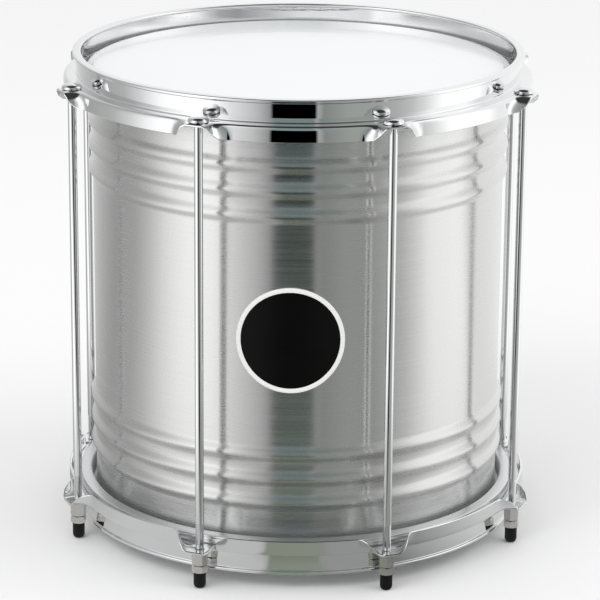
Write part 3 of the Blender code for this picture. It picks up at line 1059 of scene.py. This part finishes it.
@dataclass
class Studio:
    """A pale floor, a surround of soft panels under a dark ceiling, and two soft lamps.

    The surround's stops are a direction, in degrees from the front towards the viewer's
    right, and a tone or a colour. Only reflections see it.
    """

    floor_size: float = 12.0
    floor_tone: float = 0.96
    floor_roughness: float = 0.9
    ambient: float = 0.86
    ceiling_tone: float = 0.04
    ceiling_from: float = math.radians(50)
    ceiling_full: float = math.radians(62)
    near_radius: tuple[float, float] = (0.26, 0.50)
    lamp_size: float = 1.8
    lamp_aim: float = 0.17
    haze: Colour = (0.23, 0.29, 0.29)
    surround: tuple[tuple[float, ...], ...] = (
        (-180, 0.95), (-146, 0.62), (-115, 0.40), (-95, 0.48), (-83, 0.72), (-72, 1.05),
        (-59, 1.3), (-44, 1.3), (-33, 0.88), (-20, 0.58), (-12.7, 0.33), (-12.0, 0.0),
        (9.4, 0.0), (9.9, 0.46), (10.8, 0.42), (11.8, 0.25, 0.265, 0.25),
        (24, 0.35, 0.37, 0.35), (38, 0.37, 0.39, 0.37), (48, 0.46), (56, 0.56), (64, 0.78),
        (74, 1.15), (98, 1.25), (108, 0.95), (140, 1.0),
    )
    # Tones of the floor's painted glow near the drum, seen only in reflections; mostly darker than
    # the surround's.
    near_surround: tuple[tuple[float, ...], ...] = (
        (-180, 0.5), (-110, 0.35), (-60, 0.6), (-30, 0.58), (-10.0, 0.52),
        (-9.4, 0.25, 0.28, 0.22), (9.0, 0.26, 0.285, 0.235), (12, 0.31), (28, 0.31),
        (36, 0.20), (45, 0.33), (70, 0.62), (110, 0.7), (150, 0.5),
    )

    def build(self) -> None:
        """Add the floor, the world and the lamps."""
        bpy.ops.object.select_all(action="DESELECT")
        bpy.ops.mesh.primitive_plane_add(size=self.floor_size)
        floor = name_new_piece("studio_floor")
        floor.data.materials.append(self._floor_material())
        self._world()
        self._lamp("key_lamp", (-1.5, -1.7, 2.4), 22.0)
        self._lamp("fill_lamp", (2.0, -0.6, 2.2), 12.0)

    def _math(
        self,
        tree: bpy.types.NodeTree,
        operation: str,
        first: bpy.types.NodeSocket,
        second: bpy.types.NodeSocket | float,
    ) -> bpy.types.NodeSocket:
        """Add a Math node on one socket and a second socket or number."""
        node = tree.nodes.new("ShaderNodeMath")
        node.operation = operation
        tree.links.new(first, node.inputs[0])
        if isinstance(second, float):
            node.inputs[1].default_value = second
        else:
            tree.links.new(second, node.inputs[1])
        return node.outputs[0]

    def _spread(
        self,
        tree: bpy.types.NodeTree,
        value: bpy.types.NodeSocket,
        low: float,
        high: float,
    ) -> bpy.types.NodeSocket:
        """Map a value from its low and high ends to 0 and 1, and hold it there."""
        node = tree.nodes.new("ShaderNodeMapRange")
        node.inputs["From Min"].default_value = low
        node.inputs["From Max"].default_value = high
        tree.links.new(value, node.inputs["Value"])
        return node.outputs["Result"]

    def _mix(
        self,
        tree: bpy.types.NodeTree,
        factor: bpy.types.NodeSocket,
        first: bpy.types.NodeSocket | float,
        second: bpy.types.NodeSocket | float,
    ) -> bpy.types.NodeSocket:
        """Mix two colours, each a socket or a grey tone, by a factor."""
        node = tree.nodes.new("ShaderNodeMix")
        node.data_type = "RGBA"
        tree.links.new(factor, node.inputs[0])
        for socket, value in ((node.inputs[6], first), (node.inputs[7], second)):
            if isinstance(value, float):
                socket.default_value = (value, value, value, 1.0)
            else:
                tree.links.new(value, socket)
        return node.outputs[2]

    def _ramp(
        self,
        tree: bpy.types.NodeTree,
        around: bpy.types.NodeSocket,
        stops: Sequence[Sequence[float]],
    ) -> bpy.types.NodeSocket:
        """Return the colours of a list of stops at a place round the drum."""
        ramp = tree.nodes.new("ShaderNodeValToRGB")
        elements = ramp.color_ramp.elements
        elements[1].position = 1.0
        for number, (degrees, *tones) in enumerate([*stops, (180, *stops[0][1:])]):
            position = (degrees + 180.0) / 360.0
            colour = (*(tones * 3 if len(tones) == 1 else tones), 1.0)
            if number in (0, len(stops)):
                elements[0 if number == 0 else len(elements) - 1].color = colour
            else:
                elements.new(position).color = colour
        tree.links.new(around, ramp.inputs["Fac"])
        return ramp.outputs["Color"]

    def _around(self, tree: bpy.types.NodeTree, split: bpy.types.Node) -> bpy.types.NodeSocket:
        """Return a place's direction from the drum's axis, as 0 to 1 from the back round."""
        front = self._math(tree, "MULTIPLY", split.outputs["Y"], -1.0)
        angle = self._math(tree, "ARCTAN2", split.outputs["X"], front)
        return self._spread(tree, angle, -math.pi, math.pi)

    def _split(self, tree: bpy.types.NodeTree, place: bpy.types.NodeSocket) -> bpy.types.Node:
        """Separate a place into its three coordinates."""
        split = tree.nodes.new("ShaderNodeSeparateXYZ")
        tree.links.new(place, split.inputs["Vector"])
        return split

    def _floor_material(self) -> bpy.types.Material:
        """Return the floor's material: pale and lit, but for reflected rays a painted glow of the
        surround's tones, with its own tones near the drum.
        """
        material = bpy.data.materials.new("studio_floor")
        material.use_nodes = True
        tree = material.node_tree
        shader = tree.nodes["Principled BSDF"]
        shader.inputs["Base Color"].default_value = (*[self.floor_tone] * 3, 1.0)
        shader.inputs["Roughness"].default_value = self.floor_roughness
        shader.inputs["Specular IOR Level"].default_value = 0.0
        place = tree.nodes.new("ShaderNodeTexCoord").outputs["Object"]
        split = self._split(tree, place)
        around = self._around(tree, split)
        across = self._math(tree, "MULTIPLY", split.outputs["X"], split.outputs["X"])
        along = self._math(tree, "MULTIPLY", split.outputs["Y"], split.outputs["Y"])
        distance = self._math(tree, "POWER", self._math(tree, "ADD", across, along), 0.5)
        far = self._spread(tree, distance, *self.near_radius)
        near_tone = self._ramp(tree, around, self.near_surround)
        far_tone = self._ramp(tree, around, self.surround)
        # Painted reflection: glossy rays see this glow instead of the lit floor.
        glow = tree.nodes.new("ShaderNodeEmission")
        tree.links.new(self._mix(tree, far, near_tone, far_tone), glow.inputs["Color"])
        rays = tree.nodes.new("ShaderNodeLightPath")
        mix = tree.nodes.new("ShaderNodeMixShader")
        tree.links.new(rays.outputs["Is Glossy Ray"], mix.inputs["Fac"])
        tree.links.new(shader.outputs["BSDF"], mix.inputs[1])
        tree.links.new(glow.outputs["Emission"], mix.inputs[2])
        tree.links.new(mix.outputs["Shader"], tree.nodes["Material Output"].inputs["Surface"])
        return material

    def _world(self) -> None:
        """Light everything softly, show white behind and the surround in reflections."""
        world = bpy.data.worlds.new("studio")
        bpy.context.scene.world = world
        world.use_nodes = True
        tree = world.node_tree
        split = self._split(tree, tree.nodes.new("ShaderNodeTexCoord").outputs["Generated"])
        stops = [
            (stop[0], *map(max, stop[1:] * (3 if len(stop) == 2 else 1), self.haze))
            for stop in self.surround
        ]
        surround = self._ramp(tree, self._around(tree, split), stops)
        low, high = math.sin(self.ceiling_from), math.sin(self.ceiling_full)
        overhead = self._spread(tree, split.outputs["Z"], low, high)
        reflected = self._mix(tree, overhead, surround, self.ceiling_tone)
        rays = tree.nodes.new("ShaderNodeLightPath")
        soft = self._mix(tree, rays.outputs["Is Glossy Ray"], self.ambient, reflected)
        seen = self._mix(tree, rays.outputs["Is Camera Ray"], soft, 1.0)
        tree.links.new(seen, tree.nodes["Background"].inputs["Color"])

    def _lamp(self, name: str, place: tuple[float, float, float], power: float) -> None:
        """Add a square soft lamp that points at the drum's middle."""
        light = bpy.data.lights.new(name, "AREA")
        light.energy = power
        light.size = self.lamp_size
        lamp = bpy.data.objects.new(name, light)
        bpy.context.scene.collection.objects.link(lamp)
        aim = Vector((0.0, 0.0, self.lamp_aim)) - Vector(place)
        turn = aim.to_track_quat("-Z", "Y").to_matrix().to_4x4()
        lamp.matrix_world = Matrix.Translation(place) @ turn
        lamp.visible_glossy = False


@dataclass(frozen=True)
class PhotoCamera:
    """The photograph's camera, for a square picture on a 36 mm sensor."""

    place: tuple[float, float, float] = (0.0211, -2.1264, 0.8241)
    yaw: float = math.radians(-0.510)
    pitch: float = math.radians(-17.266)
    roll: float = math.radians(0.409)
    focal_mm: float = 180.897
    sensor_mm: float = 36.0
    clip_end: float = 50.0

    def build(self) -> None:
        """Add the camera and make it the scene's."""
        data = bpy.data.cameras.new("photo_camera")
        data.lens = self.focal_mm
        data.sensor_width = self.sensor_mm
        data.clip_end = self.clip_end
        camera = bpy.data.objects.new("photo_camera", data)
        bpy.context.scene.collection.objects.link(camera)
        ahead = Vector((
            math.sin(self.yaw) * math.cos(self.pitch),
            math.cos(self.yaw) * math.cos(self.pitch),
            math.sin(self.pitch),
        ))
        level = Vector((math.cos(self.yaw), -math.sin(self.yaw), 0.0))
        upright = level.cross(ahead)
        right = level * math.cos(self.roll) + upright * math.sin(self.roll)
        up = upright * math.cos(self.roll) - level * math.sin(self.roll)
        turn = Matrix((right, up, -ahead)).transposed().to_4x4()
        camera.matrix_world = Matrix.Translation(self.place) @ turn
        bpy.context.scene.camera = camera


def main() -> None:
    """Build the drum's sub-assemblies in order, then the studio and the camera."""
    logging.basicConfig(level=logging.INFO, format="%(name)s: %(message)s")
    plan = DrumPlan()
    film = WHITE_FILM.make()
    channel = MILL_ALUMINIUM_PAINTED_SHADE.make()
    Shell(plan).build()
    Head(plan, upside_down=False).build(film, channel)
    Head(plan, upside_down=True).build(film, channel)
    CounterHoop(plan).build(HOOP_CHROME.make())
    TensionRod(plan).build(ROD_CHROME.make())
    HexNuts(plan).build(SATIN_NICKEL.make())
    RubberTips(plan).build(BLACK_RUBBER.make())
    Badge(plan).build()
    Studio().build()
    PhotoCamera().build()
    bpy.context.scene.view_settings.view_transform = "Standard"


if __name__ == "__main__":
    main()
